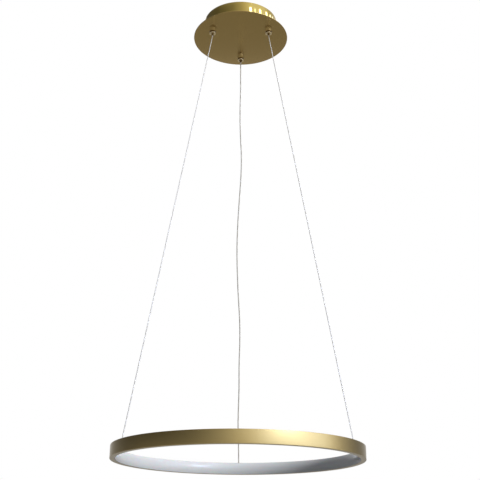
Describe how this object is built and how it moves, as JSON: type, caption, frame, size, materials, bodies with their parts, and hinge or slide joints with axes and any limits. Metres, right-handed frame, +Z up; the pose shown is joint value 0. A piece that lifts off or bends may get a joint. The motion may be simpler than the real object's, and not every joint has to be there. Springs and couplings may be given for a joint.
{
  "type": "led pendant light",
  "caption": "Slim ring light with an inward-facing opal diffuser, hung level below a round ceiling canopy by thin wires and a power cable, with its height set at the canopy.",
  "frame": {"origin": "middle of the canopy on the ceiling plane", "axes": "+Z up into the ceiling, +X along the bracket to the right, the power cable on the +Y side"},
  "size_m": [0.4, 0.4, 0.8145],
  "materials": {
    "gold_satin_aluminium": "satin gold anodised, fine brushed along the ring",
    "gold_plated_steel": "gold lacquered steel, glossy",
    "gold_brass": "gold plated brass, turned",
    "zinc_steel": "bright zinc plated",
    "stainless_wire": "bright stranded wire",
    "clear_sheath": "clear sheath over tinned cores",
    "opal_diffuser": "opal white, smooth matt",
    "white_plastic": "moulded matt white",
    "grey_foam_tape": "foam tape",
    "green_board": "solder resist",
    "white_board": "white solder resist",
    "phosphor_chip": "yellow phosphor on a white body",
    "transformer_tape": "tape and ferrite",
    "capacitor_can": "dark sleeved can",
    "mains_sheath": "brown and blue insulation",
    "earth_sheath": "green and yellow insulation",
    "tinned_copper": "tinned",
    "polished_steel": "polished balls and spring wire"
  },
  "bodies": {
    "canopy": {"canopy_drum": "gold_plated_steel", "canopy_disc": "gold_plated_steel", "ceiling_bracket": "zinc_steel", "side_screws": "gold_brass", "earth_screw": "zinc_steel", "earth_lug": "tinned_copper", "earth_lead": "earth_sheath", "terminal_block": "white_plastic", "terminal_screws": "zinc_steel", "terminal_fixing_screws": "zinc_steel", "driver_pad": "grey_foam_tape", "driver_case": "white_plastic", "driver_lid": "white_plastic", "driver_board": "green_board", "driver_transformer": "transformer_tape", "driver_capacitors": "capacitor_can", "mains_leads": "mains_sheath", "cable_tail": "clear_sheath", "cable_grip_body": "gold_brass", "cable_grip_collet": "gold_brass", "cable_grip_screw": "zinc_steel", "clamp_nuts": "zinc_steel", "clamp_washers": "zinc_steel", "gripper_barrel_left": "gold_brass", "gripper_barrel_right": "gold_brass", "gripper_stud_left": "gold_brass", "gripper_stud_right": "gold_brass", "gripper_spring_left": "polished_steel", "gripper_spring_right": "polished_steel"},
    "plunger_left": {"plunger_left": "gold_brass", "grip_balls_left": "polished_steel"},
    "plunger_right": {"plunger_right": "gold_brass", "grip_balls_right": "polished_steel"},
    "suspension": {"wire_left": "stainless_wire", "wire_right": "stainless_wire", "power_cable": "clear_sheath"},
    "ring": {"ring_profile": "gold_satin_aluminium", "diffuser": "opal_diffuser", "light_strip": "white_board", "light_chips": "phosphor_chip", "joint_connector": "zinc_steel", "joint_screws": "zinc_steel", "cable_bush": "clear_sheath", "cable_clamp": "tinned_copper", "strip_leads": "tinned_copper", "wire_stop_left": "tinned_copper", "wire_stop_right": "tinned_copper"}
  },
  "joints": [
    {"name": "plunger_left_press", "type": "slide", "parent": "canopy", "child": "plunger_left", "axis": [0, 0, 1], "range_m": [0, 0.0018], "stiffness_N_per_m": 900, "springref_m": -0.001, "deforming": ["gripper_spring_left"]},
    {"name": "plunger_right_press", "type": "slide", "parent": "canopy", "child": "plunger_right", "axis": [0, 0, 1], "range_m": [0, 0.0018], "stiffness_N_per_m": 900, "springref_m": -0.001, "deforming": ["gripper_spring_right"]},
    {"name": "ring_sway", "type": "hinge", "parent": "canopy", "child": "suspension", "pos_m": [0, 0, -0.0476], "axis": [0, 1, 0], "range_deg": [-4, 4]},
    {"name": "height_adjust", "type": "slide", "parent": "suspension", "child": "ring", "axis": [0, 0, 1], "range_m": [0, 0.4], "deforming": ["wire_left", "wire_right", "power_cable"]}
  ]
}
